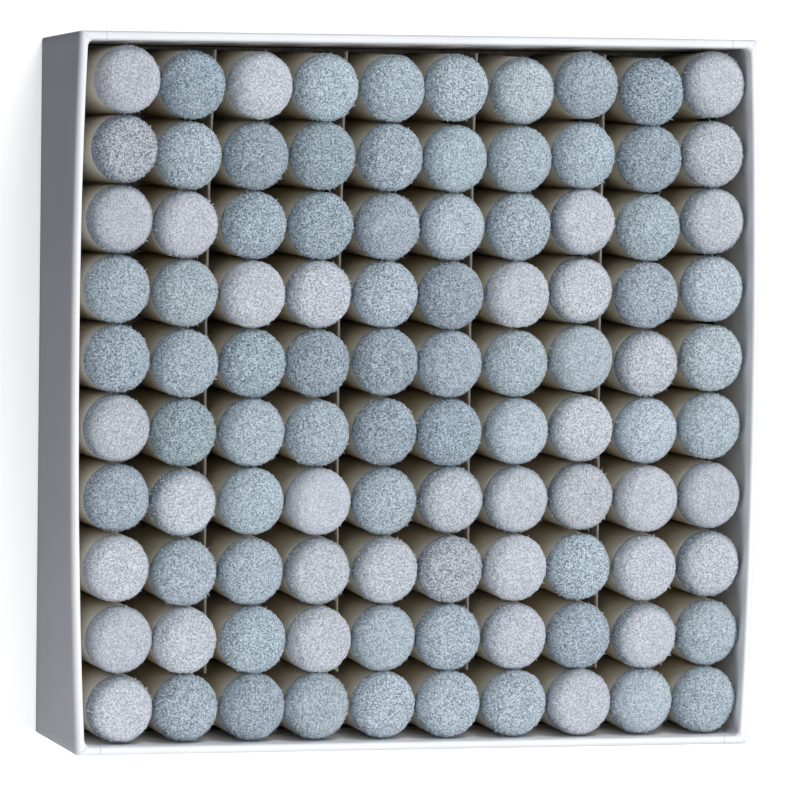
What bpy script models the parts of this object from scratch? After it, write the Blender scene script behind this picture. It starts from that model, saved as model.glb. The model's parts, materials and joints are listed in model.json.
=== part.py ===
"""Tray of a hundred push-on cue tips: a paper-covered board tray, card dividers, plastic ferrules, leather pads.

Metres, +Z up. The tray lies on its base with the open top up, and the rows of tips run along X.
Front is -Y. Every piece is its own object; the ten tips of the front row are single tips, and the
nine tips behind each of them are joined into one column by a thin bar that runs inside them.
"""

import math

import bmesh
import bpy

MM = 0.001

# Cue tip: a plastic cap with a blind socket, and a leather pad glued on top.
TIP_DIAMETER = 12.85
FERRULE_HEIGHT = 20.0
FERRULE_EDGE = 0.4
SOCKET_DIAMETER = 9.8
SOCKET_DEPTH = 14.0
SOCKET_LEAD_IN = 0.5
PAD_RADIUS = 6.35
PAD_HEIGHT = 4.6
PAD_SHOULDER_HEIGHT = 3.3
PAD_SHOULDER_RADIUS = 5.6
GLUE_LINE = 0.05
SINGLE_SIDES = 16
COLUMN_SIDES = 12
JOINING_BAR = 2.4

# Layout: ten rows along Y, and five channels of two columns along X with a card divider between channels.
ROWS = 10
CHANNELS = 5
ROW_PITCH = 12.92
PAIR_PITCH = 13.12
DIVIDER_CARD = 0.4
DIVIDER_STEP = TIP_DIAMETER + DIVIDER_CARD + 0.3
DIVIDER_LENGTH = 119.0
DIVIDER_HEIGHT = 15.0
SIDE_GAP = 0.15
END_GAP = 0.3

# Tray: greyboard, with paper turned over the rim and under the base.
RIM_HEIGHT = 27.0
BOARD = 1.15
PAPER = 0.15
PAPER_GAP = 0.05
STAY_PAPER = 0.1
STAY_LEG = 11.0
TURN_IN = 17.0
TURN_UNDER = 9.0
SHEET_MARGIN = 2.5
RIM_CHAMFER = 0.35
INNER_FOLD = 0.27
BOARD_CHAMFER = 0.25

# How far each wall leans out at the rim, and how far the side walls bow out beyond that.
LEAN_BACK = 1.3
LEAN_FRONT = 2.5
SIDE_LEAN_BACK = 0.8
SIDE_LEAN_FRONT = 0.2
BOW_LEFT = 1.45
BOW_RIGHT = 1.4
BOW_POWER = 2.2
WALL_SEGMENTS = 10

OUTER_PAPERS = PAPER + PAPER_GAP + STAY_PAPER + PAPER_GAP
WALL = OUTER_PAPERS + BOARD + PAPER_GAP + PAPER
WRAP_UNDERSIDE = PAPER + PAPER_GAP
BOARD_UNDERSIDE = WRAP_UNDERSIDE + PAPER + PAPER_GAP
FLOOR = BOARD_UNDERSIDE + BOARD
TIP_UNDERSIDE = FLOOR + 2 * PAPER_GAP
TIPS_WIDTH = CHANNELS * PAIR_PITCH + (CHANNELS - 1) * DIVIDER_STEP + TIP_DIAMETER
TIPS_LENGTH = (ROWS - 1) * ROW_PITCH + TIP_DIAMETER
BASE_HALF_WIDTH = TIPS_WIDTH / 2 + SIDE_GAP + WALL
BASE_HALF_LENGTH = TIPS_LENGTH / 2 + END_GAP + WALL

# These keep the origin in the middle of the whole tray, rim included.
SHIFT_X = (BOW_LEFT - BOW_RIGHT) / 2
SHIFT_Y = (LEAN_FRONT - LEAN_BACK) / 2


def clear_scene():
    for thing in list(bpy.data.objects):
        bpy.data.objects.remove(thing, do_unlink=True)


def finish(name, colour, roughness):
    """A matt or satin material of one colour."""
    made = bpy.data.materials.new(name)
    made.use_nodes = True
    shader = made.node_tree.nodes["Principled BSDF"]
    shader.inputs["Base Color"].default_value = (*colour, 1)
    shader.inputs["Roughness"].default_value = roughness
    shader.inputs["Metallic"].default_value = 0
    made.diffuse_color = (*colour, 1)
    return made


def place(name, shape, material, at=(0, 0, 0)):
    """Turns a bmesh in millimetres into a named object, with its origin at a point in millimetres."""
    bmesh.ops.recalc_face_normals(shape, faces=shape.faces)
    bmesh.ops.scale(shape, vec=(MM, MM, MM), verts=shape.verts)
    mesh = bpy.data.meshes.new(name)
    shape.to_mesh(mesh)
    shape.free()
    mesh.materials.append(material)
    made = bpy.data.objects.new(name, mesh)
    made.location = ((at[0] + SHIFT_X) * MM, (at[1] + SHIFT_Y) * MM, at[2] * MM)
    bpy.context.scene.collection.objects.link(made)
    return made


def column_x(column):
    """Centre of a column, counted from 0 at the left."""
    pairs = (column + 1) // 2
    steps = column // 2
    return pairs * PAIR_PITCH + steps * DIVIDER_STEP - (TIPS_WIDTH - TIP_DIAMETER) / 2


def row_y(row):
    """Centre of a row, counted from 0 at the back."""
    return ((ROWS - 1) / 2 - row) * ROW_PITCH


def turned(shape, profile, sides, centre_y=0):
    """Adds a solid turned about a vertical line; the profile starts and ends on that line."""
    reach = 1 / math.cos(math.pi / sides)
    rings = []
    for radius, height in profile:
        points = 1 if radius == 0 else sides
        ring = []
        for step in range(points):
            angle = (step + 0.5) * math.tau / sides
            x = radius * reach * math.cos(angle)
            y = radius * reach * math.sin(angle) + centre_y
            ring.append(shape.verts.new((x, y, height)))
        rings.append(ring)
    for low, high in zip(rings, rings[1:]):
        for step in range(sides):
            following = (step + 1) % sides
            corners = [low[step % len(low)], low[following % len(low)]]
            corners += [high[following % len(high)], high[step % len(high)]]
            shape.faces.new(list(dict.fromkeys(corners)))


def box(shape, low, high):
    """Adds a box between two corners."""
    size = [b - a for a, b in zip(low, high)]
    middle = [(a + b) / 2 for a, b in zip(low, high)]
    made = bmesh.ops.create_cube(shape, size=1)["verts"]
    bmesh.ops.scale(shape, vec=size, verts=made)
    bmesh.ops.translate(shape, vec=middle, verts=made)


def wall_point(side, along, inset, height):
    """A point of the tray's side wall, moved in from its outer face; along runs from -1 at the front to 1.

    All walls lean out towards the rim, and the side walls bow out between the corners too.
    """
    rise = height / RIM_HEIGHT
    share = (along + 1) / 2
    front = BASE_HALF_LENGTH + LEAN_FRONT * rise - inset
    back = BASE_HALF_LENGTH + LEAN_BACK * rise - inset
    lean = SIDE_LEAN_FRONT + (SIDE_LEAN_BACK - SIDE_LEAN_FRONT) * share
    bow = (BOW_RIGHT if side > 0 else BOW_LEFT) * (1 - abs(along) ** BOW_POWER)
    reach = BASE_HALF_WIDTH + (lean + bow) * rise - inset
    return (side * reach, back * share - front * (1 - share), height)


def outline(inset, height):
    """The tray's outline at a height, anticlockwise from its front right corner."""
    steps = [2 * step / WALL_SEGMENTS - 1 for step in range(WALL_SEGMENTS + 1)]
    right = [wall_point(1, along, inset, height) for along in steps]
    left = [wall_point(-1, along, inset, height) for along in reversed(steps)]
    return right + left


def loft(shape, lines, closed=False, ring=True):
    """Joins lines of points one after another; closed joins the last to the first as well.

    Rings run all the way round, and are filled at both ends unless closed. Other lines get end faces.
    Every wall is split along the same diagonal, so that the faces of board and paper stay parallel.
    """
    rows = [[shape.verts.new(point) for point in line] for line in lines]
    pairs = list(zip(rows, rows[1:]))
    if closed:
        pairs.append((rows[-1], rows[0]))
    else:
        shape.faces.new(rows[0])
        shape.faces.new(rows[-1])
    for pair in pairs:
        low, high = sorted(pair, key=lambda row: row[0].co.z)
        for step in range(len(low) if ring else len(low) - 1):
            following = (step + 1) % len(low)
            shape.faces.new((low[step], low[following], high[following]))
            shape.faces.new((low[step], high[following], high[step]))
    if not ring:
        for end in (0, -1):
            shape.faces.new([row[end] for row in rows])


def make_board(material):
    """The folded greyboard: base and four walls."""
    top = RIM_HEIGHT - PAPER - PAPER_GAP
    middle = RIM_HEIGHT - TURN_IN
    inner = OUTER_PAPERS + BOARD
    shape = bmesh.new()
    loft(shape, [
        outline(OUTER_PAPERS, BOARD_UNDERSIDE),
        outline(OUTER_PAPERS, middle),
        outline(OUTER_PAPERS, top - BOARD_CHAMFER),
        outline(OUTER_PAPERS + BOARD_CHAMFER, top),
        outline(inner - BOARD_CHAMFER, top),
        outline(inner, top - BOARD_CHAMFER),
        outline(inner, middle),
        outline(inner, FLOOR),
    ])
    place("tray_board", shape, material)


def make_wrap(material):
    """The white paper: turned under the base, up the walls, over the rim and down inside."""
    low = WRAP_UNDERSIDE
    middle = RIM_HEIGHT - TURN_IN
    high = RIM_HEIGHT
    inner = WALL - PAPER
    shape = bmesh.new()
    loft(shape, [
        outline(TURN_UNDER, low),
        outline(0, low),
        outline(0, middle),
        outline(0, high - RIM_CHAMFER),
        outline(RIM_CHAMFER, high),
        outline(WALL - RIM_CHAMFER, high),
        outline(WALL, high - RIM_CHAMFER),
        outline(WALL, middle),
        outline(inner, middle),
        outline(inner, high - PAPER - INNER_FOLD),
        outline(inner - INNER_FOLD, high - PAPER),
        outline(PAPER + INNER_FOLD, high - PAPER),
        outline(PAPER, high - PAPER - INNER_FOLD),
        outline(PAPER, middle),
        outline(PAPER, low + PAPER),
        outline(TURN_UNDER, low + PAPER),
    ], closed=True)
    place("paper_wrap", shape, material)


def make_base_sheet(material):
    """The paper under the base, which the tray rests on."""
    half_width = BASE_HALF_WIDTH - SHEET_MARGIN
    half_length = BASE_HALF_LENGTH - SHEET_MARGIN
    shape = bmesh.new()
    box(shape, (-half_width, -half_length, 0), (half_width, half_length, PAPER))
    place("base_sheet", shape, material)


def stay_line(x_side, y_side, inset, height):
    """The bent line of a corner stay at a height, anticlockwise like the tray's outline."""
    corner = wall_point(x_side, y_side, inset, height)
    along_side = wall_point(x_side, y_side * (1 - 2 / WALL_SEGMENTS), inset, height)
    along_end = (corner[0] - x_side * STAY_LEG, corner[1], height)
    line = [along_side, corner, along_end]
    return line if x_side == y_side else line[::-1]


def make_corner_stays(material):
    """A paper tape round each upright corner of the board, under the wrap."""
    heights = (BOARD_UNDERSIDE + 1, RIM_HEIGHT - TURN_IN, RIM_HEIGHT - 1)
    near = PAPER + PAPER_GAP
    far = near + STAY_PAPER
    for number, (x_side, y_side) in enumerate(((-1, 1), (1, 1), (1, -1), (-1, -1)), 1):
        shape = bmesh.new()
        lines = [stay_line(x_side, y_side, near, height) for height in heights]
        lines += [stay_line(x_side, y_side, far, height) for height in reversed(heights)]
        loft(shape, lines, closed=True, ring=False)
        place(f"corner_stay_{number}", shape, material)


def make_dividers(material):
    """Card strips that stand between the channels, from the back wall to the front row."""
    back = BASE_HALF_LENGTH - WALL - END_GAP
    for number in range(1, CHANNELS):
        left = column_x(2 * number - 1)
        right = column_x(2 * number)
        shape = bmesh.new()
        box(
            shape,
            (-DIVIDER_CARD / 2, -DIVIDER_LENGTH / 2, 0),
            (DIVIDER_CARD / 2, DIVIDER_LENGTH / 2, DIVIDER_HEIGHT),
        )
        centre = ((left + right) / 2, back - DIVIDER_LENGTH / 2, TIP_UNDERSIDE)
        place(f"card_divider_{number}", shape, material, centre)


def solid_ferrule_profile():
    radius = TIP_DIAMETER / 2
    return [(0, 0), (radius, 0), (radius, FERRULE_HEIGHT), (0, FERRULE_HEIGHT)]


def ferrule_profile():
    radius = TIP_DIAMETER / 2
    socket = SOCKET_DIAMETER / 2
    return [
        (0, SOCKET_DEPTH),
        (socket, SOCKET_DEPTH),
        (socket, SOCKET_LEAD_IN),
        (socket + SOCKET_LEAD_IN, 0),
        (radius - FERRULE_EDGE, 0),
        (radius, FERRULE_EDGE),
        (radius, FERRULE_HEIGHT),
        (0, FERRULE_HEIGHT),
    ]


def pad_profile():
    """Steep sides up to a shoulder, then a low dome."""
    return [
        (0, 0),
        (PAD_RADIUS, 0),
        (PAD_RADIUS - 0.1, PAD_SHOULDER_HEIGHT * 0.45),
        (PAD_SHOULDER_RADIUS, PAD_SHOULDER_HEIGHT),
        (PAD_SHOULDER_RADIUS * 0.6, PAD_HEIGHT - 0.3),
        (0, PAD_HEIGHT),
    ]


def plain_pad_profile():
    """The same pad with fewer edges, for the joined columns."""
    return [(0, 0), (PAD_RADIUS, 0), (PAD_SHOULDER_RADIUS, PAD_SHOULDER_HEIGHT), (0, PAD_HEIGHT)]


def make_front_row(plastic, leather):
    """Ten single tips, each a ferrule with its socket open underneath and its own pad."""
    for column in range(2 * CHANNELS):
        x = column_x(column)
        y = row_y(ROWS - 1)
        ferrule = bmesh.new()
        turned(ferrule, ferrule_profile(), SINGLE_SIDES)
        place(f"ferrule_{column + 1:02d}", ferrule, plastic, (x, y, TIP_UNDERSIDE))
        pad = bmesh.new()
        turned(pad, pad_profile(), SINGLE_SIDES)
        lift = TIP_UNDERSIDE + FERRULE_HEIGHT + GLUE_LINE
        place(f"leather_pad_{column + 1:02d}", pad, leather, (x, y, lift))


def join_with_bar(thing, low, high, material):
    """Unites the separate turned shapes of a column with a bar through their middles."""
    bar = bmesh.new()
    half = JOINING_BAR / 2
    reach = (ROWS - 2) * ROW_PITCH / 2
    box(bar, (-half, -reach, low), (half, reach, high))
    helper = place(f"{thing.name}_bar", bar, material)
    helper.location = thing.location
    helper.hide_render = True
    helper.display_type = "WIRE"
    union = thing.modifiers.new("join", "BOOLEAN")
    union.operation = "UNION"
    union.object = helper


def make_columns(plastic, leather):
    """The nine tips behind each single one, as a joined block of ferrules and a joined block of pads."""
    rows = range(ROWS - 1)
    middle = (row_y(0) + row_y(ROWS - 2)) / 2
    for column in range(2 * CHANNELS):
        x = column_x(column)
        ferrules = bmesh.new()
        pads = bmesh.new()
        for row in rows:
            turned(ferrules, solid_ferrule_profile(), COLUMN_SIDES, row_y(row) - middle)
            turned(pads, plain_pad_profile(), COLUMN_SIDES, row_y(row) - middle)
        block = place(f"column_ferrules_{column + 1:02d}", ferrules, plastic, (x, middle, TIP_UNDERSIDE))
        join_with_bar(block, 8, 8 + JOINING_BAR, plastic)
        lift = TIP_UNDERSIDE + FERRULE_HEIGHT + GLUE_LINE
        block = place(f"column_pads_{column + 1:02d}", pads, leather, (x, middle, lift))
        join_with_bar(block, 0.2, 1.2, leather)


def main():
    clear_scene()
    grey_board = finish("grey_board", (0.42, 0.38, 0.33), 0.95)
    white_paper = finish("white_paper", (0.84, 0.85, 0.88), 0.45)
    stay_paper = finish("stay_paper", (0.70, 0.62, 0.48), 0.8)
    divider_card = finish("divider_card", (0.52, 0.47, 0.40), 0.9)
    ivory_plastic = finish("ivory_plastic", (0.83, 0.78, 0.62), 0.35)
    blue_leather = finish("blue_leather", (0.52, 0.60, 0.65), 0.95)
    make_board(grey_board)
    make_wrap(white_paper)
    make_base_sheet(white_paper)
    make_corner_stays(stay_paper)
    make_dividers(divider_card)
    make_front_row(ivory_plastic, blue_leather)
    make_columns(ivory_plastic, blue_leather)


main()
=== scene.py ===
import json
import math

import bmesh
import bpy
import numpy as np
from mathutils import Matrix, Vector

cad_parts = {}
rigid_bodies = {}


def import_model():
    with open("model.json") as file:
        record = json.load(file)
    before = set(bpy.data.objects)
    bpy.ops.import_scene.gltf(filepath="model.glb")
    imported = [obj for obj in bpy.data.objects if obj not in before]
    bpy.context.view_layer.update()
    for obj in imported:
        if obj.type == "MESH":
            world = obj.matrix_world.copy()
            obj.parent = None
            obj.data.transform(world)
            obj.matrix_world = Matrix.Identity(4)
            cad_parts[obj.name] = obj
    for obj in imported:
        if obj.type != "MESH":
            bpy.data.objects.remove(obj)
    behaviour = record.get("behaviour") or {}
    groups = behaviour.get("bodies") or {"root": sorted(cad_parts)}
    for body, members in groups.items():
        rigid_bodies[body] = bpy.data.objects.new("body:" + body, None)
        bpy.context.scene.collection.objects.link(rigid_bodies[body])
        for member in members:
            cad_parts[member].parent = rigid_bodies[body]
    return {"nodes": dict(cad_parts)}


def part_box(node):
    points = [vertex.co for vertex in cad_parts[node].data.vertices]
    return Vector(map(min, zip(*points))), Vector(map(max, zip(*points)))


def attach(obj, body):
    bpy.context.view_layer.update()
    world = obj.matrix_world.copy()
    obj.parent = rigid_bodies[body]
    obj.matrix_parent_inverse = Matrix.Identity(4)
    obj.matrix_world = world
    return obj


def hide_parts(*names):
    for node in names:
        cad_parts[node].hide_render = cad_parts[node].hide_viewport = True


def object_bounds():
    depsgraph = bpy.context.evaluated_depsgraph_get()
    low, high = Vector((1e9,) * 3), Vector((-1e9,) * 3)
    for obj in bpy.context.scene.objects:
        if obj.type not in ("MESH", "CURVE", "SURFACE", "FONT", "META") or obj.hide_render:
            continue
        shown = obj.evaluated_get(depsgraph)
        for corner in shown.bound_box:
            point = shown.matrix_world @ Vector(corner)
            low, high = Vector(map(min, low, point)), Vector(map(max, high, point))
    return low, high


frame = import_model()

cadLow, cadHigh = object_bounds()
scene = bpy.context.scene
print("frame loaded:", len(frame["nodes"]), "nodes")


# nodes and sockets written as Python
class Wire:
    # an output socket that takes part in arithmetic
    def __init__(self, graph, socket):
        self.graph = graph
        self.socket = socket

    def __add__(self, other):
        return self.graph.maths("ADD", self, other)

    def __sub__(self, other):
        return self.graph.maths("SUBTRACT", self, other)

    def __mul__(self, other):
        return self.graph.maths("MULTIPLY", self, other)

    def __rsub__(self, other):
        return self.graph.maths("SUBTRACT", other, self)

    __radd__ = __add__
    __rmul__ = __mul__


class Graph:
    # a node tree, shader or geometry, with one way to add a node
    def __init__(self, tree):
        self.tree = tree

    def add(self, kind, settings=None, values=None):
        made = self.tree.nodes.new(kind)
        for name, value in (settings or {}).items():
            setattr(made, name, value)
        for key, value in (values or {}).items():
            self.feed(made.inputs[key], value)
        return made

    def feed(self, socket, value):
        for each in value if isinstance(value, list) else [value]:
            if isinstance(each, Wire):
                self.tree.links.new(each.socket, socket)
            else:
                socket.default_value = each

    def get(self, kind, settings=None, values=None, output=0):
        return Wire(self, self.add(kind, settings, values).outputs[output])

    def maths(self, operation, first, second=0.0):
        return self.get("ShaderNodeMath", {"operation": operation}, {0: first, 1: second})

    def smooth(self, value, low, high):
        # eases from 0 at low to 1 at high
        return self.get("ShaderNodeMapRange", {"interpolation_type": "SMOOTHSTEP"},
                        {"Value": value, "From Min": low, "From Max": high})

    def mix(self, factor, first, second, blend="MIX"):
        return self.get("ShaderNodeMix",
                        {"data_type": "RGBA", "blend_type": blend, "clamp_factor": True},
                        {0: factor, 6: first, 7: second}, 2)

    def noise(self, vector, scale, detail=2.0, rough=0.5, distort=0.0):
        return self.get("ShaderNodeTexNoise", {"noise_dimensions": "3D"},
                        {"Vector": vector, "Scale": scale, "Detail": detail, "Roughness": rough,
                         "Distortion": distort})

    def away(self, vector, axis):
        # distance from the middle along one axis
        return self.maths("ABSOLUTE", self.get("ShaderNodeSeparateXYZ", None, {0: vector}, axis))

    def stretch(self, vector, scales):
        return self.get("ShaderNodeVectorMath", {"operation": "MULTIPLY"}, {0: vector, 1: scales})


def colour(red, green, blue):
    return (red, green, blue, 1.0)


def newMaterial(name):
    made = bpy.data.materials.new(name)
    made.use_nodes = True
    made.node_tree.nodes.clear()
    graph = Graph(made.node_tree)
    surface = graph.add("ShaderNodeBsdfPrincipled")
    graph.add("ShaderNodeOutputMaterial", None, {"Surface": Wire(graph, surface.outputs[0])})
    place = graph.get("ShaderNodeTexCoord", None, None, "Object")
    return made, graph, surface, place


def setSurface(graph, surface, **values):
    for name, value in values.items():
        graph.feed(surface.inputs[name.replace("_", " ")], value)


def bump(graph, height, strength, distance):
    return graph.get("ShaderNodeBump", None,
                     {"Strength": strength, "Distance": distance, "Height": height})


def attribute(graph, name, output="Fac"):
    return graph.get("ShaderNodeAttribute",
                     {"attribute_type": "GEOMETRY", "attribute_name": name}, None, output)


def grey(level):
    return colour(level, level, level)


leatherLook = {
    "grainScale": 3100,        # per metre
    "fleckScale": 6800,
    "patchScale": 380,
    "pit": colour(0.25, 0.265, 0.275),     # how far the pits darken the tone
    "fibre": grey(1.80),       # how far the raised fibres lighten it
    "strand": grey(1.5),       # how far the loose strands are paler
    # darker flank colour: the unsanded leather and painted shade on the pads' sides
    "flank": colour(0.130, 0.175, 0.205),
    "flankAmount": 0.72,
    "dust": colour(0.74, 0.77, 0.80),
    "dustAmount": 0.10,
    "rough": 0.86,
    "bumpDepth": 0.00030,
}


def makeLeather():
    look = leatherLook
    made, graph, surface, place = newMaterial("blueLeather")
    tone = attribute(graph, "padTone", "Color")
    flank = attribute(graph, "flank")
    grit = attribute(graph, "grit")
    grain = graph.noise(place, look["grainScale"], 2.0, 0.6, 0.8)
    fleck = graph.noise(place, look["fleckScale"], 1.0, 0.5)
    patch = graph.noise(place, look["patchScale"])
    salt = graph.smooth(grain * 0.68 + fleck * 0.32, 0.43, 0.57)
    # the sanded top is paler than the flank, with a ragged border between them; the flank's darker
    # colour is partly the unsanded leather and partly painted shade
    border = flank + (grain - 0.5) * 0.9 + (patch - 0.5) * 0.7
    blue = graph.smooth(border, 0.25, 0.85)
    body = graph.mix(blue * look["flankAmount"], tone, look["flank"])
    pits = graph.mix(1.0, body, look["pit"], "MULTIPLY")
    raised = graph.mix(1.0, body, look["fibre"], "MULTIPLY")
    speckled = graph.mix(salt, pits, raised)
    calm = graph.mix(grit * 0.80 + blue * 0.30, body, speckled)
    dusty = graph.mix(graph.smooth(patch, 0.35, 0.75) * look["dustAmount"], calm, look["dust"])
    pale = graph.mix(1.0, tone, look["strand"], "MULTIPLY")
    whole = graph.mix(attribute(graph, "strand"), dusty, pale)
    relief = bump(graph, grain * 0.75 + fleck * 0.25, 0.9, look["bumpDepth"])
    setSurface(graph, surface, Base_Color=whole, Roughness=look["rough"] + 0.12 * grain,
               Normal=relief, Sheen_Weight=0.15, Sheen_Roughness=0.6, Specular_IOR_Level=0.10)
    return made


ivoryLook = {
    "lit": colour(0.64, 0.595, 0.50),
    "paintedFootShade": colour(0.54, 0.44, 0.295),   # painted shade towards the foot, where the tips crowd together
    "rubbed": colour(0.68, 0.65, 0.57),
    "cloudScale": 160,
    "hazeScale": 900,
    "ringScale": 420,
    "rough": 0.34,
    "glow": 0.002,             # how deep light goes in, in metres
}


def makeIvory():
    look = ivoryLook
    made, graph, surface, place = newMaterial("ivoryPlastic")
    cloud = graph.noise(place, look["cloudScale"])
    haze = graph.noise(place, look["hazeScale"], 3.0, 0.6)
    rings = graph.get("ShaderNodeTexWave", {"wave_type": "BANDS", "bands_direction": "Z"},
                      {"Vector": place, "Scale": look["ringScale"], "Distortion": 0.6, "Detail": 2.0})
    # painted shade: the ferrules turn darker and warmer towards their feet, between the tips
    deep = graph.smooth(attribute(graph, "tipHeight") + (cloud - 0.5) * 0.3, 1.0, 0.35)
    warm = graph.mix(deep, look["lit"], look["paintedFootShade"])
    scuffed = graph.mix(graph.smooth(haze, 0.58, 0.74) * 0.35, warm, look["rubbed"])
    relief = bump(graph, rings * 0.25 + haze * 0.75, 0.10, 0.0001)
    setSurface(graph, surface, Base_Color=scuffed, Roughness=look["rough"] + 0.22 * haze,
               Normal=relief, Subsurface_Weight=0.12, Subsurface_Scale=look["glow"],
               Subsurface_Radius=(1.0, 0.7, 0.4), Specular_IOR_Level=0.4)
    return made


paperLook = {
    "white": colour(0.79, 0.79, 0.805),
    "shade": colour(0.70, 0.70, 0.72),
    "worn": colour(0.58, 0.58, 0.59),
    "seam": colour(0.30, 0.29, 0.30),
    "cloudScale": 45,
    "pulpScale": 1500,
    "rippleScale": 150,
    "speckScale": 700,
    "lapEdge": 0.0636,         # where the lap ends, from the middle of the tray
    "lapRagged": 0.0004,
    "lapStep": 0.00004,
    "seamWidth": 0.00016,
    "endFace": 0.0648,         # nothing nearer the middle than this is an outer end wall
    "endFade": 0.0003,
    "rough": 0.40,
}


def makePaper(name, worn):
    look = paperLook
    made, graph, surface, place = newMaterial(name)
    cloud = graph.noise(place, look["cloudScale"], 3.0, 0.55)
    pulp = graph.noise(place, look["pulpScale"], 3.0, 0.6)
    ripple = graph.noise(place, look["rippleScale"])
    plain = graph.mix(graph.smooth(cloud, 0.3, 0.75) * 0.5, look["white"], look["shade"])
    specks = graph.smooth(graph.noise(place, look["speckScale"], 2.0, 0.7), 0.70, 0.78)
    finish = graph.mix(specks * 0.3, plain, look["worn"])
    if worn:
        rubbed = attribute(graph, "rubbed") * 0.75 + (pulp - 0.5) * 0.9 + (cloud - 0.5) * 0.5
        finish = graph.mix(graph.smooth(rubbed, 0.45, 0.8) * 0.5, finish, look["worn"])
        # the side walls' paper is lapped round each corner on to the end walls
        atEnd = graph.smooth(graph.away(place, 1), look["endFace"], look["endFace"] + look["endFade"])
        past = graph.away(place, 0) - (look["lapEdge"] + (pulp - 0.5) * look["lapRagged"])
        line = 1 - graph.smooth(graph.maths("ABSOLUTE", past), 0.00002, look["seamWidth"])
        finish = graph.mix(line * atEnd * 0.55, finish, look["seam"])
        ripple = ripple + graph.smooth(past, -look["lapStep"], look["lapStep"]) * atEnd * 0.5
    relief = bump(graph, pulp * 0.3 + ripple * 0.7, 0.22, 0.00025)
    setSurface(graph, surface, Base_Color=finish, Roughness=look["rough"] + 0.2 * pulp,
               Normal=relief, Specular_IOR_Level=0.45, Coat_Weight=0.06, Coat_Roughness=0.3)
    return made


boardLook = {
    "dark": colour(0.20, 0.178, 0.152),
    "light": colour(0.31, 0.285, 0.25),
    "streak": colour(0.38, 0.35, 0.31),
    "fleck": colour(0.16, 0.15, 0.16),
    "pulpScale": 700,
    "fleckScale": 480,
    "fibreScales": (900, 260, 900),
}


def makeGreyBoard():
    look = boardLook
    made, graph, surface, place = newMaterial("greyBoard")
    pulp = graph.noise(place, look["pulpScale"], 4.0, 0.65)
    fibres = graph.noise(graph.stretch(place, look["fibreScales"]), 1.0, 3.0)
    flecks = graph.smooth(graph.noise(place, look["fleckScale"], 2.0, 0.8), 0.66, 0.74)
    base = graph.mix(graph.smooth(pulp, 0.3, 0.7), look["dark"], look["light"])
    streaked = graph.mix(graph.smooth(fibres, 0.5, 0.75) * 0.5, base, look["streak"])
    flecked = graph.mix(flecks * 0.55, streaked, look["fleck"])
    relief = bump(graph, pulp * 0.5 + fibres * 0.5, 0.35, 0.0002)
    setSurface(graph, surface, Base_Color=flecked, Roughness=0.9 + 0.08 * pulp, Normal=relief,
               Specular_IOR_Level=0.2)
    return made


cardLook = {
    "dark": colour(0.20, 0.172, 0.142),
    "light": colour(0.31, 0.28, 0.24),
    "fleck": colour(0.12, 0.10, 0.085),
    "cut": colour(0.50, 0.475, 0.43),      # painted highlight: the cut top edge is made lighter, as where light falls on it
    "pulpScale": 1300,
    "fibreScales": (1200, 240, 1200),
}


def makeCard():
    look = cardLook
    made, graph, surface, place = newMaterial("dividerCard")
    cut = attribute(graph, "cut")
    pulp = graph.noise(place, look["pulpScale"], 3.0, 0.6)
    streak = graph.noise(graph.stretch(place, look["fibreScales"]), 1.0, 3.0)
    face = graph.mix(graph.smooth(streak, 0.3, 0.7), look["dark"], look["light"])
    flecked = graph.mix(graph.smooth(pulp, 0.62, 0.72) * 0.4, face, look["fleck"])
    # painted highlight: the cut top edge is lighter than the faces
    whole = graph.mix(graph.smooth(cut + (pulp - 0.5) * 0.3, 0.35, 0.65), flecked, look["cut"])
    relief = bump(graph, pulp * 0.4 + streak * 0.6, 0.4, 0.00018)
    setSurface(graph, surface, Base_Color=whole, Roughness=0.88 + 0.1 * pulp, Normal=relief,
               Specular_IOR_Level=0.2)
    return made


stayLook = {
    "dark": colour(0.50, 0.38, 0.24),
    "light": colour(0.62, 0.50, 0.34),
    "fleck": colour(0.36, 0.27, 0.17),
    "pulpScale": 1100,
    "streakScale": 260,
}


def makeStayPaper():
    look = stayLook
    made, graph, surface, place = newMaterial("stayPaper")
    pulp = graph.noise(place, look["pulpScale"], 3.0, 0.6)
    streak = graph.noise(graph.stretch(place, (1, 1, 4)), look["streakScale"], 3.0, 0.6)
    tint = graph.mix(graph.smooth(streak, 0.35, 0.7), look["dark"], look["light"])
    flecked = graph.mix(graph.smooth(pulp, 0.6, 0.75) * 0.35, tint, look["fleck"])
    setSurface(graph, surface, Base_Color=flecked, Roughness=0.75 + 0.15 * pulp,
               Normal=bump(graph, pulp, 0.3, 0.00015), Specular_IOR_Level=0.3)
    return made


materials = {
    "blue_leather": makeLeather(),
    "ivory_plastic": makeIvory(),
    "white_paper": makePaper("whitePaper", True),
    "base_paper": makePaper("basePaper", False),
    "grey_board": makeGreyBoard(),
    "divider_card": makeCard(),
    "stay_paper": makeStayPaper(),
}
print("materials made:", len(materials))


def newObject(name, data):
    made = bpy.data.objects.new(name, data)
    scene.collection.objects.link(made)
    return made


def meshFrom(name, points, faces, smooth=True):
    mesh = bpy.data.meshes.new(name)
    mesh.from_pydata([tuple(map(float, point)) for point in points], [], faces)
    mesh.update()
    mesh.polygons.foreach_set("use_smooth", [smooth] * len(mesh.polygons))
    return mesh


def storeNumbers(mesh, name, values):
    layer = mesh.attributes.new(name, "FLOAT", "POINT")
    layer.data.foreach_set("value", np.asarray(values, np.float32))


def storeColours(mesh, name, values):
    layer = mesh.attributes.new(name, "FLOAT_COLOR", "POINT")
    layer.data.foreach_set("color", np.asarray(values, np.float32).ravel())


def storeVectors(mesh, name, values):
    layer = mesh.attributes.new(name, "FLOAT_VECTOR", "POINT")
    layer.data.foreach_set("vector", np.asarray(values, np.float32).ravel())


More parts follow.
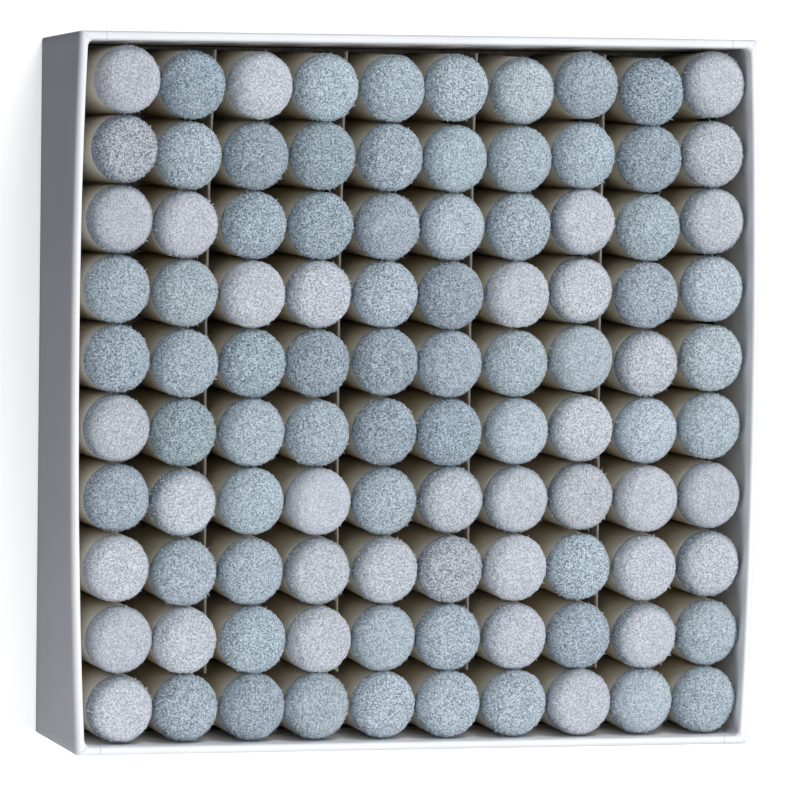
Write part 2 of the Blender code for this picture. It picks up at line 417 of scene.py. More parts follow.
def storeIndices(mesh, name, values):
    layer = mesh.attributes.new(name, "INT", "POINT")
    layer.data.foreach_set("value", np.asarray(values, np.int32))


def outwards(mesh):
    shape = bmesh.new()
    shape.from_mesh(mesh)
    bmesh.ops.recalc_face_normals(shape, faces=shape.faces)
    shape.to_mesh(mesh)
    shape.free()


# where the tips stand
tipRows = {
    "rows": 10,
    "columns": 10,
    # one letter for each tip's finish, back row first: white, light, blue, dark, mauve
    "finishes": [
        "wdwbbblbdw",
        "mbddbbbbdw",
        "wwddblbwbw",
        "bbwwbdwwbl",
        "dbdddbblwl",
        "wdbbddlwlb",
        "bwbwbwwwww",
        "wbbwwmwbww",
        "wwbwlbwbwl",
        "wddbbbbwlb",
    ],
    # how far the pads' middles stand to the right of their feet, at the columns' ends and middle
    "leftEnds": 0.0013,
    "leftMiddle": 0.00035,
    "rightEnds": 0.0005,
    "rightMiddle": 0.0015,
    "frontLean": 0.00235,      # how far the front row's pads stand forward of their feet
    "allLean": -0.0003,
    "backPush": 0.0015,
    "frontPush": 0.00045,
    "columnNods": {0: 0.0006, 7: 0.0003, 9: 0.0007},
    "otherNods": -0.0005,
    "leanSpread": 0.00014,
    "leanHeight": 0.02195,     # from the foot to the middle of the pad
    "padTop": 0.02355,         # where a leaning pad would meet a wall
    "placeSpread": 0.00002,
    "toneRange": (0.93, 1.07),
    "tintSpread": 0.0035,
    "gritSpread": 0.07,
    "wearSpread": 0.15,
    "girthRange": (0.985, 1.0),
    "furryGirth": 0.022,       # how much wider an unsanded pad is
    "wallGap": 0.00008,
    "seed": 41,
}
toneOf = {
    "w": {"tone": (0.452, 0.466, 0.505), "grit": 0.60, "sanded": 1.0, "fuzz": 0.5,
          "forms": [0, 1, 3], "crescent": (0.2, 0.95)},
    "l": {"tone": (0.378, 0.432, 0.473), "grit": 0.72, "sanded": 0.7, "fuzz": 0.7,
          "forms": [0, 2, 5], "crescent": (0.25, 0.75)},
    "b": {"tone": (0.330, 0.390, 0.432), "grit": 0.88, "sanded": 0.45, "fuzz": 1.0,
          "forms": [2, 4, 5], "crescent": (0.2, 0.6)},
    "d": {"tone": (0.280, 0.340, 0.385), "grit": 1.05, "sanded": 0.25, "fuzz": 1.5,
          "forms": [4, 5], "crescent": (0.15, 0.45)},
    "m": {"tone": (0.362, 0.380, 0.420), "grit": 1.00, "sanded": 0.8, "fuzz": 0.8,
          "forms": [1, 3], "crescent": (0.4, 0.9)},
}


# the walls' line, which the paper, the tips and the dividers share
wallLook = {
    "rimHeight": 0.027,
    "thickness": 0.0017,
    "sheetMargin": 0.0025,     # from the edge of the base sheet to the foot of the wall
    "leanBack": 0.0013,
    "leanFront": 0.0025,
    "sideLeanBack": 0.0008,
    "sideLeanFront": 0.0002,
    "bowLeft": 0.00145,
    "bowRight": 0.0014,
    "bowPower": 2.2,
}
sheetLow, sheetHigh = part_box("base_sheet")
trayCentre = (sheetLow + sheetHigh) / 2
footHalfWidth = (sheetHigh.x - sheetLow.x) / 2 + wallLook["sheetMargin"]
footHalfLength = (sheetHigh.y - sheetLow.y) / 2 + wallLook["sheetMargin"]


def bowAt(side, along, height):
    bow = wallLook["bowRight"] if side > 0 else wallLook["bowLeft"]
    return bow * (1 - min(abs(along), 1) ** wallLook["bowPower"]) * height / wallLook["rimHeight"]


def sideReach(along, inset, height):
    # from the middle to a side wall, without its bow; along runs from -1 at the front to 1
    share = (along + 1) / 2
    lean = wallLook["sideLeanFront"] * (1 - share) + wallLook["sideLeanBack"] * share
    return footHalfWidth + lean * height / wallLook["rimHeight"] - inset


def endReach(side, inset, height):
    lean = wallLook["leanBack"] if side > 0 else wallLook["leanFront"]
    return footHalfLength + lean * height / wallLook["rimHeight"] - inset


def sideLean(share, along):
    # how far pads lean to the right; share runs from 0 at the left column to 1
    plan = tipRows
    ends = plan["leftEnds"] * (1 - share) + plan["rightEnds"] * share
    middle = plan["leftMiddle"] * (1 - share) + plan["rightMiddle"] * share
    lean = ends + (middle - ends) * (1 - abs(along) ** wallLook["bowPower"])
    push = plan["backPush"] * max(along, 0) ** 3 + plan["frontPush"] * max(-along, 0)
    return lean + plan["allLean"] + push


def keepInside(x, y, along, lean, tilt):
    # limits a tip's lean so that its pad stays clear of the walls
    height = tipRows["padTop"]
    room = wallLook["thickness"] + padLook["radius"] + tipRows["wallGap"]
    reach = sideReach(along, room, height)
    right = trayCentre.x + reach + bowAt(1, along, height)
    left = trayCentre.x - reach - bowAt(-1, along, height)
    back = trayCentre.y + endReach(1, room, height)
    front = trayCentre.y - endReach(-1, room, height)
    return min(max(lean, left - x), right - x), min(max(tilt, front - y), back - y)


def tipList():
    # one dictionary for each tip: its body, where it stands, how it leans and its finish
    plan = tipRows
    draw = np.random.default_rng(plan["seed"])
    tips = []
    last = plan["rows"] - 1
    for column in range(plan["columns"]):
        number = f"{column + 1:02d}"
        frontLow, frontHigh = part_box(f"ferrule_{number}")
        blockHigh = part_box(f"column_ferrules_{number}")[1]
        x = (frontLow.x + frontHigh.x) / 2
        frontY = (frontLow.y + frontHigh.y) / 2
        firstY = blockHigh.y - (frontHigh.y - frontY)
        share = column / (plan["columns"] - 1)
        plainNod = plan["otherNods"]
        ownNod = plan["columnNods"].get(column, plainNod)
        for row in range(plan["rows"]):
            y = firstY + (frontY - firstY) * row / last
            along = (y - trayCentre.y) / footHalfLength
            finish = toneOf[plan["finishes"][row][column]]
            lean = sideLean(share, along) + draw.normal(0, 1) * plan["leanSpread"]
            nod = ownNod + (plainNod - ownNod) * (row / last) ** 3
            tilt = nod - plan["frontLean"] * row / last + draw.normal(0, 1) * plan["leanSpread"]
            lean, tilt = keepInside(x, y, along, lean, tilt)
            tone = np.array(finish["tone"]) * draw.uniform(*plan["toneRange"])
            tone = tone + draw.normal(0, plan["tintSpread"], 3)
            tips.append({
                "body": f"tip_{number}" if row == last else f"column_{number}",
                "place": (x + draw.normal(0, 1) * plan["placeSpread"],
                          y + draw.normal(0, 1) * plan["placeSpread"], frontLow.z),
                "axis": Vector((lean, tilt, plan["leanHeight"])).normalized(),
                "turn": draw.uniform(0, math.tau),
                "form": int(draw.choice(finish["forms"])),
                "tone": np.clip(tone, 0.02, 0.9),
                "grit": float(np.clip(finish["grit"] + draw.normal(0, plan["gritSpread"]), 0.2, 1.2)),
                "sanded": float(np.clip(finish["sanded"] + draw.normal(0, plan["wearSpread"]), 0, 1)),
                "crescent": draw.uniform(*finish["crescent"]),
                "fuzz": float(np.clip(finish["fuzz"] + draw.normal(0, plan["wearSpread"]), 0.1, 1.8)),
                "girth": (draw.uniform(*plan["girthRange"])
                          + plan["furryGirth"] * (1 - finish["sanded"])),
            })
    return tips


ferruleLook = {
    "radius": 0.006425,
    "height": 0.020,
    "socketRadius": 0.0049,
    "socketDepth": 0.014,
    "leadIn": 0.0005,
    "footRound": 0.0004,
    "topRound": 0.00018,
    "sides": 40,
}


def arc(centre, radius, start, end, steps):
    # points of an arc in the (radius, height) plane, angles in degrees
    points = []
    for step in range(steps + 1):
        angle = math.radians(start + (end - start) * step / steps)
        points.append((centre[0] + radius * math.cos(angle), centre[1] + radius * math.sin(angle)))
    return points


def turnedShape(name, profile, sides):
    points = []
    faces = []
    rings = []
    for radius, height in profile:
        if radius < 1e-9:
            rings.append([len(points)])
            points.append((0, 0, height))
            continue
        rings.append(list(range(len(points), len(points) + sides)))
        for step in range(sides):
            angle = math.tau * step / sides
            points.append((radius * math.cos(angle), radius * math.sin(angle), height))
    for low, high in zip(rings, rings[1:]):
        for step in range(sides):
            corners = [low[step % len(low)], low[(step + 1) % sides % len(low)],
                       high[(step + 1) % sides % len(high)], high[step % len(high)]]
            faces.append(list(dict.fromkeys(corners)))
    mesh = meshFrom(name, points, faces)
    outwards(mesh)
    return mesh


def ferruleMesh():
    look = ferruleLook
    radius = look["radius"]
    foot = look["footRound"]
    top = look["topRound"]
    height = look["height"]
    socket = look["socketRadius"]
    profile = [(0, look["socketDepth"])]
    profile += arc((socket - foot, look["socketDepth"] - foot), foot, 90, 0, 3)
    profile += [(socket, look["socketDepth"] * 0.5), (socket, look["leadIn"])]
    profile += [(socket + look["leadIn"] * 0.6, 0.0001), (socket + look["leadIn"], 0)]
    profile += arc((radius - foot, foot), foot, -90, 0, 3)
    profile += [(radius, height * 0.35), (radius, height * 0.7)]
    profile += arc((radius - top, height - top), top, 0, 90, 3)
    profile += [(0, height)]
    mesh = turnedShape("ferruleShape", profile, look["sides"])
    storeNumbers(mesh, "tipHeight", [vertex.co.z / height for vertex in mesh.vertices])
    mesh.set_sharp_from_angle(angle=math.radians(50))
    return mesh


padLook = {
    "radius": 0.00640,
    "height": 0.0046,
    "lift": 0.02005,           # underside above the foot of the ferrule
    "belly": 0.016,            # how far the flank swells out over the ferrule
    "cells": 58,
    "softness": 0.03,          # of the edge round the sanded top
    "sandFrom": 0.6,           # share of the height below which sanding doesn't reach
    # shoulder: higher is squarer. flat: share of the height sanded off. tilt: slope of that top
    "forms": [
        {"shoulder": 2.9, "flat": 0.05, "tilt": 0.010},
        {"shoulder": 3.3, "flat": 0.07, "tilt": 0.020},
        {"shoulder": 2.5, "flat": 0.00, "tilt": 0.005},
        {"shoulder": 3.0, "flat": 0.10, "tilt": 0.030},
        {"shoulder": 2.7, "flat": 0.03, "tilt": 0.015},
        {"shoulder": 2.3, "flat": 0.00, "tilt": 0.000},
    ],
    "grainDepth": 0.00085,
    "grainScale": 1650,
    "lumpDepth": 0.00026,
    "lumpScale": 330,
    "fibresPerArea": 1250000,
    "fibreLength": 0.00075,
    "fibreRadius": 0.000105,
}


def padMesh(number, form):
    # a square grid bent into a round dome, so that no faces crowd at a pole
    look = padLook
    cells = look["cells"]
    power = form["shoulder"]
    line = np.linspace(-1, 1, cells + 1)
    u, v = np.meshgrid(line, line, indexing="ij")
    reach = np.maximum(np.abs(u), np.abs(v))
    x = u * np.sqrt(1 - v * v / 2)
    y = v * np.sqrt(1 - u * u / 2)
    length = np.maximum(np.hypot(x, y), 1e-9)
    angle = math.pi / 2 * reach ** 1.25
    spread = np.sin(angle) ** (2 / power)
    rise = np.abs(np.cos(angle)) ** (2 / power)
    spread = spread * (1 + look["belly"] * np.sin(np.clip(rise / 0.7, 0, 1) * math.pi))
    px = x / length * spread * look["radius"]
    py = y / length * spread * look["radius"]
    topLimit = 1 - form["flat"] + form["tilt"] * px / look["radius"]
    softness = look["softness"]
    low = look["sandFrom"]
    capped = topLimit - softness * np.log1p(np.exp(np.clip((topLimit - rise) / softness, -30, 30)))
    capped = np.where(rise > low, np.maximum(capped, 0), rise)
    blendIn = np.clip((rise - low) / 0.2, 0, 1)
    height = rise * (1 - blendIn) + capped * blendIn
    points = np.stack([px, py, height * look["height"]], -1).reshape(-1, 3)
    side = cells + 1
    index = np.arange(side * side).reshape(side, side)
    faces = [[index[a, b], index[a + 1, b], index[a + 1, b + 1], index[a, b + 1]]
             for a in range(cells) for b in range(cells)]
    rim = [*index[:-1, 0], *index[-1, :-1], *index[:0:-1, -1], *index[0, :0:-1]]
    points = np.vstack([points, [[0, 0, 0]]])
    middle = len(points) - 1
    faces += [[rim[step], middle, rim[(step + 1) % len(rim)]] for step in range(len(rim))]
    mesh = meshFrom(f"padShape{number}", points, [list(map(int, face)) for face in faces])
    outwards(mesh)
    storeNumbers(mesh, "level", np.append(height.ravel(), 0))
    storeNumbers(mesh, "loose", np.append(np.clip(rise.ravel() * 8, 0, 1), 0))
    mesh.set_sharp_from_angle(angle=math.radians(75))
    return mesh


def newTree(name, inputs):
    tree = bpy.data.node_groups.new(name, "GeometryNodeTree")
    tree.interface.new_socket("Geometry", in_out="OUTPUT", socket_type="NodeSocketGeometry")
    tree.interface.new_socket("Geometry", in_out="INPUT", socket_type="NodeSocketGeometry")
    identifiers = {}
    for label, kind in inputs.items():
        made = tree.interface.new_socket(label, in_out="INPUT", socket_type="NodeSocket" + kind)
        identifiers[label] = made.identifier
    graph = Graph(tree)
    source = graph.add("NodeGroupInput")
    wires = {label: Wire(graph, source.outputs[label]) for label in ["Geometry", *inputs]}
    return tree, graph, wires, identifiers


def named(graph, name, kind="FLOAT"):
    return graph.get("GeometryNodeInputNamedAttribute", {"data_type": kind}, {"Name": name})


def keep(graph, geometry, name, value):
    return graph.get("GeometryNodeStoreNamedAttribute", {"data_type": "FLOAT", "domain": "POINT"},
                     {"Geometry": geometry, "Name": name, "Value": value})


def standTips(graph, wires):
    shapes = graph.get("GeometryNodeCollectionInfo", None,
                       {"Collection": wires["Shapes"], "Separate Children": True,
                        "Reset Children": True})
    turned = graph.get("FunctionNodeEulerToRotation", None,
                       {0: named(graph, "stance", "FLOAT_VECTOR")})
    placed = graph.get("GeometryNodeInstanceOnPoints", None, {
        "Points": wires["Geometry"], "Instance": shapes, "Pick Instance": True,
        "Instance Index": named(graph, "form", "INT"), "Rotation": turned,
        "Scale": named(graph, "girth", "FLOAT_VECTOR")})
    return graph.get("GeometryNodeRealizeInstances", None, {"Geometry": placed})


def endTree(graph, geometry, material):
    real = graph.get("GeometryNodeRealizeInstances", None, {"Geometry": geometry})
    painted = graph.get("GeometryNodeSetMaterial", None, {"Geometry": real, "Material": material})
    graph.add("NodeGroupOutput", None, {"Geometry": painted})


def ferruleTree():
    inputs = {"Shapes": "Collection", "Material": "Material"}
    tree, graph, wires, identifiers = newTree("standFerrules", inputs)
    endTree(graph, standTips(graph, wires), wires["Material"])
    return tree, identifiers


# the pad tree's number inputs, each with its setting in padLook
padInputs = {
    "Grain Depth": "grainDepth",
    "Grain Scale": "grainScale",
    "Lump Depth": "lumpDepth",
    "Lump Scale": "lumpScale",
    "Fibres Per Area": "fibresPerArea",
    "Fibre Length": "fibreLength",
    "Fibre Radius": "fibreRadius",
}


def padTree():
    inputs = {"Shapes": "Collection", "Material": "Material", "Seed": "Int"}
    inputs.update({label: "Float" for label in padInputs})
    tree, graph, wires, identifiers = newTree("growPads", inputs)
    pads = standTips(graph, wires)
    # flank: 0 on the sanded top, 1 down the side, scaled by each tip's crescent; it drives the darker
    # flank colour, which is partly painted shade
    level = named(graph, "level")
    sanded = named(graph, "sanded")
    flank = graph.smooth(level, 0.86 + 0.06 * sanded, 0.30 + 0.14 * sanded) * named(graph, "crescent")
    pads = keep(graph, pads, "flank", flank)
    # suede nap and the slow lumps of the hide, pushed out along the surface
    here = graph.get("GeometryNodeInputPosition")
    normal = graph.get("GeometryNodeInputNormal")
    grain = graph.noise(here, wires["Grain Scale"], 2.0, 0.6) - 0.5
    lumps = graph.noise(here, wires["Lump Scale"], 1.0, 0.5) - 0.5
    nap = grain * wires["Grain Depth"] * (0.35 + 0.9 * named(graph, "grit"))
    push = (nap + lumps * wires["Lump Depth"]) * named(graph, "loose")
    offset = graph.get("ShaderNodeVectorMath", {"operation": "SCALE"}, {0: normal, "Scale": push})
    pads = graph.get("GeometryNodeSetPosition", None, {"Geometry": pads, "Offset": offset})
    # stray fibres
    density = wires["Fibres Per Area"] * named(graph, "fuzz")
    density = density * (0.15 + 0.85 * named(graph, "flank"))
    density = density * graph.smooth(named(graph, "loose"), 0.6, 1.0)
    spots = graph.add("GeometryNodeDistributePointsOnFaces", {"distribute_method": "RANDOM"},
                      {"Mesh": pads, "Density": density, "Seed": wires["Seed"]})
    swing = graph.get("FunctionNodeRandomValue", {"data_type": "FLOAT_VECTOR"},
                      {0: (-1.1, -1.1, -3.1), 1: (1.1, 1.1, 3.1), "Seed": 5})
    swung = graph.get("FunctionNodeRotateRotation", {"rotation_space": "LOCAL"},
                      {0: Wire(graph, spots.outputs["Rotation"]),
                       1: graph.get("FunctionNodeEulerToRotation", None, {0: swing})})
    fibre = graph.get("GeometryNodeMeshCone", {"fill_type": "NGON"},
                      {"Vertices": 3, "Radius Top": 0.0, "Radius Bottom": wires["Fibre Radius"],
                       "Depth": wires["Fibre Length"]})
    fibre = keep(graph, fibre, "strand", 1.0)
    size = graph.get("FunctionNodeRandomValue", {"data_type": "FLOAT"},
                     {2: 0.35, 3: 1.0, "Seed": 9}, 1)
    fibres = graph.get("GeometryNodeInstanceOnPoints", None,
                       {"Points": Wire(graph, spots.outputs["Points"]), "Instance": fibre,
                        "Rotation": swung, "Scale": size})
    joined = graph.get("GeometryNodeJoinGeometry", None, {"Geometry": [fibres, pads]})
    endTree(graph, joined, wires["Material"])
    return tree, identifiers


def grow(name, tips, tree, identifiers, values, lift, shrink):
    # runs a tree over a body's tips and keeps the result as a plain mesh
    points = []
    stances = []
    for tip in tips:
        turn = Vector((0, 0, 1)).rotation_difference(tip["axis"]).to_matrix()
        rise = ferruleLook["radius"] * math.hypot(tip["axis"].x, tip["axis"].y)
        stand = Vector(tip["place"]) + Vector((0, 0, rise)) + turn @ Vector((0, 0, lift))
        points.append(stand)
        stances.append((turn @ Matrix.Rotation(tip["turn"], 3, "Z")).to_euler("XYZ"))
    mesh = bpy.data.meshes.new(name)
    mesh.from_pydata([tuple(point) for point in points], [], [])
    storeVectors(mesh, "stance", [tuple(stance) for stance in stances])
    storeVectors(mesh, "girth",
                 [(tip["girth"], tip["girth"], 1.0) if shrink else (1, 1, 1) for tip in tips])
    storeIndices(mesh, "form", [tip["form"] if shrink else 0 for tip in tips])
    if shrink:
        storeColours(mesh, "padTone", [(*tip["tone"], 1.0) for tip in tips])
        for label in ("grit", "sanded", "fuzz", "crescent"):
            storeNumbers(mesh, label, [tip[label] for tip in tips])
    made = newObject(name, mesh)
    modifier = made.modifiers.new("grow", "NODES")
    modifier.node_group = tree
    for label, value in values.items():
        modifier[identifiers[label]] = value
    graph = bpy.context.evaluated_depsgraph_get()
    grown = bpy.data.meshes.new_from_object(made.evaluated_get(graph),
                                            preserve_all_data_layers=True, depsgraph=graph)
    made.modifiers.clear()
    made.data = grown
    grown.name = name
    bpy.data.meshes.remove(mesh)
    for vertex in grown.vertices:
        vertex.co.z = min(vertex.co.z, cadHigh[2])
    return made


def shapeCollection(name, meshes):
    made = bpy.data.collections.new(name)
    for mesh in meshes:
        made.objects.link(bpy.data.objects.new(mesh.name, mesh))
    return made


def countTriangles(made):
    made.data.calc_loop_triangles()
    return len(made.data.loop_triangles)


def makeTips():
    tips = tipList()
    ferruleShapes = shapeCollection("ferruleShapes", [ferruleMesh()])
    domes = [padMesh(index, form) for index, form in enumerate(padLook["forms"])]
    padShapes = shapeCollection("padShapes", domes)
    standing, standingInputs = ferruleTree()
    growing, growingInputs = padTree()
    ferruleValues = {"Shapes": ferruleShapes, "Material": materials["ivory_plastic"]}
    padValues = {"Shapes": padShapes, "Material": materials["blue_leather"]}
    padValues.update({label: padLook[setting] for label, setting in padInputs.items()})
    triangles = 0
    for body in sorted({tip["body"] for tip in tips}):
        group = [tip for tip in tips if tip["body"] == body]
        number = body[-2:]
        single = body.startswith("tip")
        kind = "tip" if single else "column"
        ferrules = grow(f"{kind}Ferrules{number}", group, standing, standingInputs,
                        ferruleValues, 0, False)
        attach(ferrules, body)
        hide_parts(f"ferrule_{number}" if single else f"column_ferrules_{number}")
        padValues["Seed"] = int(number)
        pads = grow(f"{kind}Pads{number}", group, growing, growingInputs,
                    padValues, padLook["lift"], True)
        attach(pads, body)
        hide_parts(f"leather_pad_{number}" if single else f"column_pads_{number}")
        triangles += countTriangles(pads) + countTriangles(ferrules)
    for collection in (ferruleShapes, padShapes):
        for helper in list(collection.objects):
            bpy.data.objects.remove(helper)
        bpy.data.collections.remove(collection)
    print("tips made:", len(tips), "with", triangles, "triangles")


makeTips()


paperSheet = {
    "underside": 0.0002,
    "thickness": 0.00015,
    "turnUnder": 0.009,
    "turnIn": 0.017,
    "outerFold": 0.0011,
    "innerFold": 0.0005,
    "footFold": 0.0004,
    "cornerRound": 0.0006,
    "innerCornerRound": 0.0013,
    "sidePoints": 72,
    "cornerPoints": 7,
    "wave": 0.00008,
    "crease": 0.00012,
    "rimFrom": 0.988,          # share of the height above which the rim waves and creases
    "seed": 7,
}


def paperSection():
    # (inset, height) round the sheet: along the underside, up, over the rim, down inside, and back
    look = paperSheet
    top = wallLook["rimHeight"]
    wall = wallLook["thickness"]
    foot = look["underside"]
    fold = look["footFold"]
    line = [(look["turnUnder"], foot), (look["turnUnder"] * 0.5, foot)]
    line += [(fold - x, foot + fold + z) for x, z in arc((0, 0), fold, -90, 0, 3)]
    start = foot + fold
    end = top - look["outerFold"]
    line += [(0, start + (end - start) * step / 11) for step in range(1, 11)]
    fold = look["outerFold"]
    line += [(fold - x, top - fold + z) for x, z in arc((0, 0), fold, 0, 90, 7)]
    fold = look["innerFold"]
    line += [(wall - fold - x, top - fold + z) for x, z in arc((0, 0), fold, 90, 180, 6)]
    depth = look["turnIn"] - fold
    line += [(wall, top - fold - depth * step / 6) for step in range(1, 7)]
    path = np.array(line)
    along = np.vstack([path[1:], path[-1:]]) - np.vstack([path[:1], path[:-1]])
    along /= np.linalg.norm(along, axis=1)[:, None]
    back = path + np.stack([along[:, 1], -along[:, 0]], 1) * look["thickness"]
    return [tuple(point) for point in path] + [tuple(point) for point in back[::-1]]


def paperRing(inset, height, radius):
    # one level of the sheet, anticlockwise from the front right corner:
    # (point, outward, which side, how far along it, how far round its corner)
    back = endReach(1, inset, height)
    front = -endReach(-1, inset, height)
    frontSide = sideReach(-1, inset, height)
    backSide = sideReach(1, inset, height)
    corners = [(frontSide, front), (backSide, back), (-backSide, back), (-frontSide, front)]
    ring = []
    for quarter in range(4):
        start = Vector(corners[quarter])
        end = Vector(corners[(quarter + 1) % 4])
        outward = Vector([(1, 0), (0, 1), (-1, 0), (0, -1)][quarter])
        ahead = Vector((-outward.y, outward.x))
        margin = radius / (end - start).length
        for step in range(paperSheet["sidePoints"]):
            share = -1 + 2 * step / (paperSheet["sidePoints"] - 1)
            share = math.sin(share * math.pi / 2) * 0.35 + share * 0.65
            along = share * (1 - 2 * margin)
            point = start + (end - start) * (along + 1) / 2
            if quarter % 2 == 0:
                point += outward * bowAt(outward.x, along, height)
            ring.append((point, outward, quarter, share, 0))
        for step in range(1, paperSheet["cornerPoints"]):
            bend = step / paperSheet["cornerPoints"]
            angle = bend * math.pi / 2
            turned = outward * math.cos(angle) + ahead * math.sin(angle)
            ring.append((end - (outward + ahead - turned) * radius, turned, quarter, 1, bend))
    return ring


def makeTrayPaper():
    look = paperSheet
    top = wallLook["rimHeight"]
    wall = wallLook["thickness"]
    draw = np.random.default_rng(look["seed"])
    waves = [(draw.uniform(8, 30), draw.uniform(0, math.tau), draw.uniform(0.3, 1)) for _ in range(6)]
    section = paperSection()
    points = []
    rub = []
    for inset, height in section:
        rise = height / top
        inside = min(max((inset - 0.0006) / 0.0008, 0), 1) * min(max((rise - 0.4) / 0.6, 0.2), 1)
        outerRound = max(look["cornerRound"] - inset, 0.0002)
        radius = outerRound * (1 - inside) + look["innerCornerRound"] * inside
        for point, outward, quarter, share, bend in paperRing(inset, height, max(radius, 0.0002)):
            ripple = sum(size * math.sin(pace * share + phase + quarter * 2)
                         for pace, phase, size in waves) / len(waves)
            dip = look["wave"] * (ripple - 1) * 0.5 * min(1, (1 - abs(share)) * 8)
            pinch = max(0, 1 - abs(bend - 0.5) * 3.2) if bend else 0
            z = height
            if rise > look["rimFrom"]:
                z += dip * 0.8 - look["crease"] * pinch
            point = point + outward * dip * rise * (0.6 if inset < wall / 2 else -0.6)
            points.append((trayCentre.x + point.x, trayCentre.y + point.y, z))
            atCorner = 1 - abs(bend - 0.5) * 0.8 if bend else 0
            atEdge = rise > 0.98 and (inset < look["outerFold"] or inset > wall - look["innerFold"])
            atFoot = height < look["footFold"] * 3
            rub.append(min(1, 0.55 * atEdge + 0.8 * atCorner * (0.3 + 0.7 * rise) + 0.4 * atFoot))
    count = len(points) // len(section)
    faces = []
    for level in range(len(section)):
        after = (level + 1) % len(section)
        for step in range(count):
            following = (step + 1) % count
            faces.append([level * count + step, level * count + following,
                          after * count + following, after * count + step])
    mesh = meshFrom("trayPaper", points, faces)
    storeNumbers(mesh, "rubbed", rub)
    outwards(mesh)
    mesh.set_sharp_from_angle(angle=math.radians(60))
    mesh.materials.append(materials["white_paper"])
    made = newObject("trayPaper", mesh)
    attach(made, "tray")
    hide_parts("paper_wrap")


makeTrayPaper()
print("tray paper made")


dividerLook = {
    "steps": 150,
    "levels": 10,
    "wave": 0.00005,
    "rough": 0.00009,
    "torn": [0.28, 0.55, 0.91],            # shares of the length where fibres stand up
    "tornChance": 0.65,
    "tornWidth": 0.00005,
    "girth": 0.92,             # of the plain strip's thickness
    "topGap": 0.0002,
}


def makeDivider(number):
    look = dividerLook
    low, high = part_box(f"card_divider_{number}")
    draw = np.random.default_rng(100 + number)
    half = (high.x - low.x) / 2 * look["girth"]
    middle = (high.x + low.x) / 2
    steps = look["steps"]
    levels = look["levels"]
    ragged = draw.normal(0, 1, steps + 1)
    ragged = np.convolve(np.pad(ragged, 2, "edge"), [0.1, 0.25, 0.3, 0.25, 0.1], "valid")
    phase = draw.uniform(0, math.tau, 3)
    across = (2 * number - 0.5) / (tipRows["columns"] - 1)
    leaning = (high.z - low.z) / tipRows["leanHeight"]
    points = []
    cut = []
    # round the section: up the left face, over the cut edge, down the right face
    section = [(-1, level / levels) for level in range(levels + 1)] + [(0, 1)]
    section += [(1, level / levels) for level in range(levels, -1, -1)]
    for side, level in section:
        for step in range(steps + 1):
            share = step / steps
            y = low.y + (high.y - low.y) * share
            slow = math.sin(share * 9 + phase[0])
            quick = math.sin(share * 23 + phase[1])
            bend = look["wave"] * (slow + 0.6 * quick)
            z = low.z + (high.z - low.z - look["topGap"]) * level
            if level == 1:
                z += look["rough"] * ragged[step] + (0.00005 if side == 0 else -0.00003)
                z = min(z, high.z)
            lean = sideLean(across, (y - trayCentre.y) / footHalfLength) * leaning
            x = middle + side * half + (bend * 0.6 + lean) * level
            points.append((x, y, z))
            cut.append(1.0 if level == 1 else 0.0)
    count = steps + 1
    faces = []
    rows = len(section)
    for a in range(rows):
        b = (a + 1) % rows
        for step in range(steps):
            faces.append([a * count + step, a * count + step + 1,
                          b * count + step + 1, b * count + step])
    faces.append([a * count for a in range(rows)])
    faces.append([a * count + steps for a in reversed(range(rows))])
    # torn fibres on the cut edge
    for spot in look["torn"]:
        if draw.uniform() < 1 - look["tornChance"]:
            continue
        y = low.y + (high.y - low.y) * (spot + draw.normal(0, 0.02))
        for _ in range(3):
            lean = sideLean(across, (y - trayCentre.y) / footHalfLength) * leaning
            base = Vector((middle + lean, y + draw.normal(0, 0.0004), high.z - look["topGap"]))
            tip = base + Vector((draw.uniform(-1, 1) * 0.0006, draw.normal(0, 0.0005), 0.0004))
            start = len(points)
            for corner in range(3):
                angle = math.tau * corner / 3
                outward = Vector((math.cos(angle), math.sin(angle), 0))
                points.append(base + outward * look["tornWidth"])
                cut.append(1.0)
            points.append(tip)
            cut.append(1.0)
            faces += [[start, start + 2, start + 1], [start, start + 1, start + 3],
                      [start + 1, start + 2, start + 3], [start + 2, start, start + 3]]
    mesh = meshFrom(f"dividerCard{number}", points, faces)
    storeNumbers(mesh, "cut", cut)
    outwards(mesh)
    mesh.set_sharp_from_angle(angle=math.radians(50))
    mesh.materials.append(materials["divider_card"])
    made = newObject(f"dividerCard{number}", mesh)
    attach(made, f"divider_{number}")
    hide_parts(f"card_divider_{number}")


for number in range(1, 5):
    makeDivider(number)
print("dividers made")


# the board, base sheet and stays keep their shapes
def dress(node, material):
    piece = frame["nodes"][node]
    if not piece.material_slots:
        piece.data.materials.append(material)
    for slot in piece.material_slots:
        slot.link = "OBJECT"
        slot.material = material


dress("tray_board", materials["grey_board"])
dress("base_sheet", materials["base_paper"])
for number in range(1, 5):
    dress(f"corner_stay_{number}", materials["stay_paper"])
print("board and stays dressed")


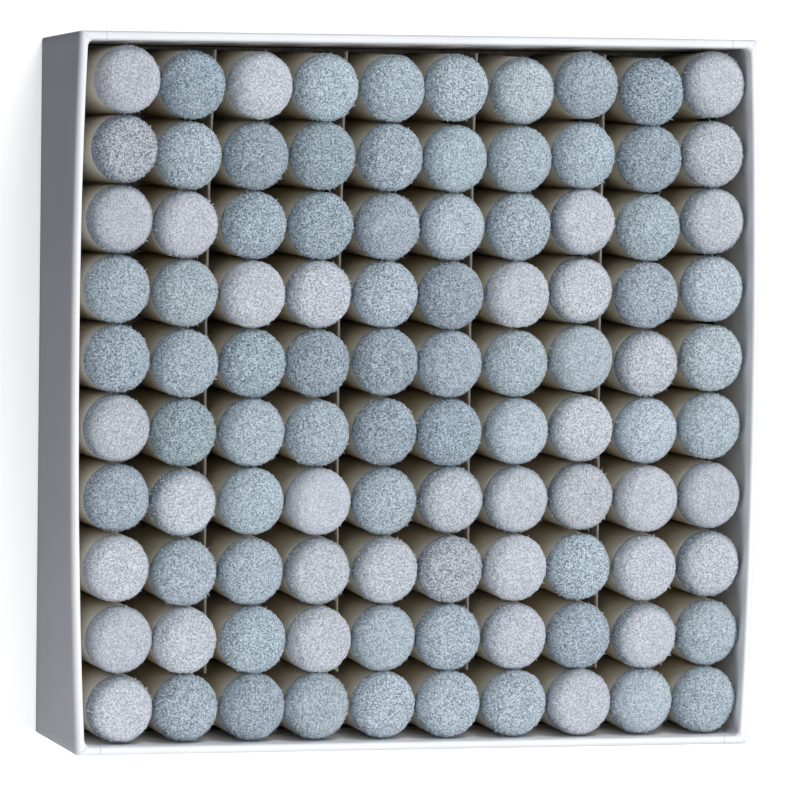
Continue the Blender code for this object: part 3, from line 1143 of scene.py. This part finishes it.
studioLook = {
    "yaw": 19.95,
    "pitch": 2.12,
    "roll": 0.63,
    "distance": 1.568,
    "viewWidth": 0.154172,     # what the camera takes in at the target, in metres
    "sensor": 36.0,
    "target": (0, 0, 0.0135),
    "aimRight": 0.00062,
    "aimUp": -0.0018,
    "world": colour(0.82, 0.88, 1.0),
    "worldStrength": 0.115,
    "lights": {
        "keyLight": {"from": (0.75, -0.35, 0.95), "size": 0.55, "power": 11.6,
                     "tint": (0.965, 0.985, 1.0)},
        "topLight": {"from": (0.10, 0.15, 1.3), "size": 0.9, "power": 5.2,
                     "tint": (0.955, 0.98, 1.0)},
        "backFill": {"from": (0.25, 0.95, 0.55), "size": 0.5, "power": 6.5,
                     "tint": (0.965, 0.985, 1.0)},
        "leftFill": {"from": (-0.21, -0.27, 0.15), "size": 0.15, "power": 0.50,
                     "tint": (0.955, 0.98, 1.0)},
    },
}


def makeCamera():
    look = studioLook
    yaw, pitch, roll = (math.radians(look[name]) for name in ("yaw", "pitch", "roll"))
    back = Vector((-math.sin(yaw) * math.cos(pitch), math.sin(pitch),
                   math.cos(yaw) * math.cos(pitch)))
    right = Vector((0, 1, 0)).cross(back).normalized()
    up = back.cross(right).normalized()
    rolledRight = right * math.cos(roll) + up * math.sin(roll)
    rolledUp = back.cross(rolledRight).normalized()
    data = bpy.data.cameras.new("camera")
    data.sensor_width = look["sensor"]
    data.lens = look["sensor"] * look["distance"] / look["viewWidth"]
    data.clip_start = 0.05
    data.clip_end = 50
    camera = newObject("camera", data)
    target = Vector(look["target"]) + rolledRight * look["aimRight"] + rolledUp * look["aimUp"]
    turn = Matrix((rolledRight, rolledUp, back)).transposed().to_4x4()
    camera.matrix_world = Matrix.Translation(target + back * look["distance"]) @ turn
    scene.camera = camera


def makeLights():
    for name, light in studioLook["lights"].items():
        data = bpy.data.lights.new(name, "AREA")
        data.shape = "SQUARE"
        data.size = light["size"]
        data.energy = light["power"]
        data.color = light["tint"]
        made = newObject(name, data)
        made.location = light["from"]
        made.rotation_euler = Vector(light["from"]).to_track_quat("Z", "Y").to_euler()
        made.visible_camera = False
    world = bpy.data.worlds.new("studio")
    world.use_nodes = True
    world.node_tree.nodes.clear()
    graph = Graph(world.node_tree)
    shade = graph.get("ShaderNodeBackground", None,
                      {"Color": studioLook["world"], "Strength": studioLook["worldStrength"]})
    graph.add("ShaderNodeOutputWorld", None, {"Surface": shade})
    scene.world = world


floorLook = {
    "reach": 12.0,
    "pale": colour(0.93, 0.93, 0.935),
    "paler": colour(0.95, 0.95, 0.95),
    "hazeScale": 3.0,
    "glow": 0.46,
}


def makeFloorMaterial():
    look = floorLook
    made, graph, surface, place = newMaterial("paleFloor")
    haze = graph.noise(place, look["hazeScale"])
    tint = graph.mix(graph.smooth(haze, 0.2, 0.8), look["pale"], look["paler"])
    setSurface(graph, surface, Base_Color=tint, Roughness=0.9, Specular_IOR_Level=0.1,
               Emission_Color=grey(1.0), Emission_Strength=look["glow"])
    return made


def makeFloor():
    reach = floorLook["reach"]
    corners = [(-reach, -reach, 0), (reach, -reach, 0), (reach, reach, 0), (-reach, reach, 0)]
    mesh = meshFrom("floor", corners, [[0, 1, 2, 3]], False)
    mesh.materials.append(makeFloorMaterial())
    made = newObject("floor", mesh)
    made.visible_diffuse = False
    made.visible_glossy = False


makeCamera()
makeLights()
makeFloor()
scene.view_settings.view_transform = "Standard"
print("studio made")
